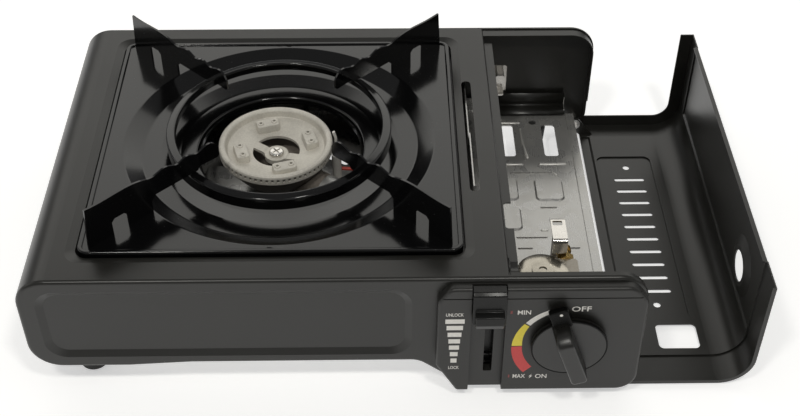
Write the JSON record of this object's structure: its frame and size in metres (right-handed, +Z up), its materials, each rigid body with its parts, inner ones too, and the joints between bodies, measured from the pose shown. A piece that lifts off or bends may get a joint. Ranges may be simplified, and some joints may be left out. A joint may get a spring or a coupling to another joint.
{
  "type": "butane cassette stove",
  "caption": "Portable single-burner gas stove with enamelled drip pan, four-armed pan support, control box with knob and lock lever, and a hinged cartridge cover.",
  "frame": {"origin": "on the table, under the middle of the stove's bounding box with its cartridge cover open", "axes": "+X to the right past the cartridge bay, +Y to the back, +Z up"},
  "size_m": [0.4111, 0.2684, 0.1139],
  "materials": {
    "body_coating": "satin fine-textured black-grey powder coat",
    "enamel": "glossy black enamel",
    "moulded_black": "satin moulded black",
    "rubber": "matt black rubber",
    "galvanised": "bright galvanised sheet",
    "plated_steel": "bright zinc plating",
    "zinc_casting": "bare casting",
    "brass": "turned brass",
    "tube_aluminium": "drawn and cast aluminium",
    "burner_alloy": "matt die casting",
    "burner_base_alloy": "matt die casting, darker",
    "igniter_plastic": "ivory moulded",
    "lead_insulation": "red insulation",
    "ceramic": "glazed ceramic sleeve on a steel wire"
  },
  "bodies": {
    "root": {"top_plate": "body_coating", "front_panel": "body_coating", "rear_panel": "body_coating", "control_box": "moulded_black", "rubber_foot_1": "rubber", "rubber_foot_2": "rubber", "rubber_foot_3": "rubber", "rubber_foot_4": "rubber", "base_tray": "galvanised", "cover_rail": "galvanised", "heat_shield": "galvanised", "burner_bracket": "galvanised", "locating_tab": "plated_steel", "hinge_pin_front": "plated_steel", "hinge_pin_rear": "plated_steel", "burner_screw": "plated_steel", "body_screws": "plated_steel", "regulator_body": "zinc_casting", "regulator_cap": "zinc_casting", "valve_body": "zinc_casting", "inlet_fitting": "brass", "gas_jet": "brass", "mixing_tube": "tube_aluminium", "gas_pipe": "tube_aluminium", "burner_head": "burner_alloy", "burner_base": "burner_base_alloy", "igniter": "igniter_plastic", "ignition_lead": "lead_insulation", "spark_electrode": "ceramic"},
    "lid": {"cartridge_lid": "body_coating"},
    "knob": {"knob": "moulded_black", "valve_spindle": "plated_steel"},
    "lever": {"lock_lever": "moulded_black", "lock_slide": "plated_steel"},
    "clip": {"locating_clip": "plated_steel"},
    "pan": {"drip_pan": "enamel"},
    "pan_support": {"support_ring": "enamel", "support_leg_1": "enamel", "support_leg_2": "enamel", "support_leg_3": "enamel", "support_leg_4": "enamel"}
  },
  "joints": [
    {"name": "lid_hinge", "type": "hinge", "parent": "root", "child": "lid", "pos_m": [0.1294, 0, 0.0114], "axis": [0, -1, 0], "range_deg": [0, 90]},
    {"name": "knob_turn", "type": "hinge", "parent": "root", "child": "knob", "pos_m": [0.0956, 0, 0.0446], "axis": [0, -1, 0], "range_deg": [0, 140]},
    {"name": "lever_slide", "type": "slide", "parent": "root", "child": "lever", "axis": [0, -0.0471, -0.9989], "range_m": [0, 0.036]},
    {"name": "clip_slide", "type": "slide", "parent": "root", "child": "clip", "axis": [0, -1, 0], "range_m": [0, 0.005]},
    {"name": "pan_lift", "type": "slide", "parent": "root", "child": "pan", "axis": [0, 0, 1], "range_m": [0, 0.1]},
    {"name": "support_lift", "type": "slide", "parent": "pan", "child": "pan_support", "axis": [0, 0, 1], "range_m": [0, 0.12]}
  ],
  "couplings": [
    {"joint": "clip_slide", "follows": "lever_slide", "ratio": 0.1388}
  ]
}
